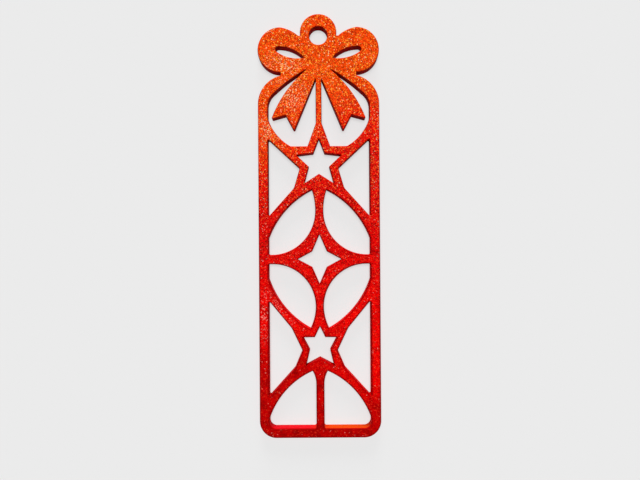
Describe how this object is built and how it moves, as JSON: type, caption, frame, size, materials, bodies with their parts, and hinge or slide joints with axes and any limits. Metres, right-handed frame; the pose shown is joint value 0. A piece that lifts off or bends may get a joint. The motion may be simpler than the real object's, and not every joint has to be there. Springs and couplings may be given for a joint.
{
  "type": "bookmark",
  "caption": "Flat openwork bookmark with a ribbon bow and a hanging eye at the top of a slim round-cornered frame, whose braced lattice holds star-shaped cut-outs; it marks a page.",
  "frame": {"origin": "middle of the outline on the back face, which lies on the table", "axes": "+X to the right of the face, +Y along the plate towards the bow, +Z out of the face"},
  "size_m": [0.043, 0.1504, 0.0032],
  "materials": {
    "orange_filament": "glitter PLA, orange",
    "vermilion_filament": "glitter PLA, orange going over to red",
    "red_filament": "glitter PLA, red"
  },
  "bodies": {
    "root": {"hanging_eye": "orange_filament", "bow_knot": "orange_filament", "left_bow_loop": "orange_filament", "right_bow_loop": "orange_filament", "left_bow_tail": "orange_filament", "right_bow_tail": "orange_filament", "left_shoulder": "orange_filament", "right_shoulder": "orange_filament", "upper_stem": "orange_filament", "upper_star_ring": "vermilion_filament", "left_upper_brace": "vermilion_filament", "right_upper_brace": "vermilion_filament", "left_upper_arch": "vermilion_filament", "right_upper_arch": "vermilion_filament", "middle_upper_stem": "vermilion_filament", "left_rail": "red_filament", "right_rail": "red_filament", "bottom_bar": "red_filament", "four_point_star_ring": "red_filament", "left_crossbar": "red_filament", "right_crossbar": "red_filament", "middle_lower_stem": "red_filament", "left_lower_brace": "red_filament", "right_lower_brace": "red_filament", "lower_star_ring": "red_filament", "left_lower_arch": "red_filament", "right_lower_arch": "red_filament", "bottom_stem": "red_filament"}
  },
  "joints": []
}
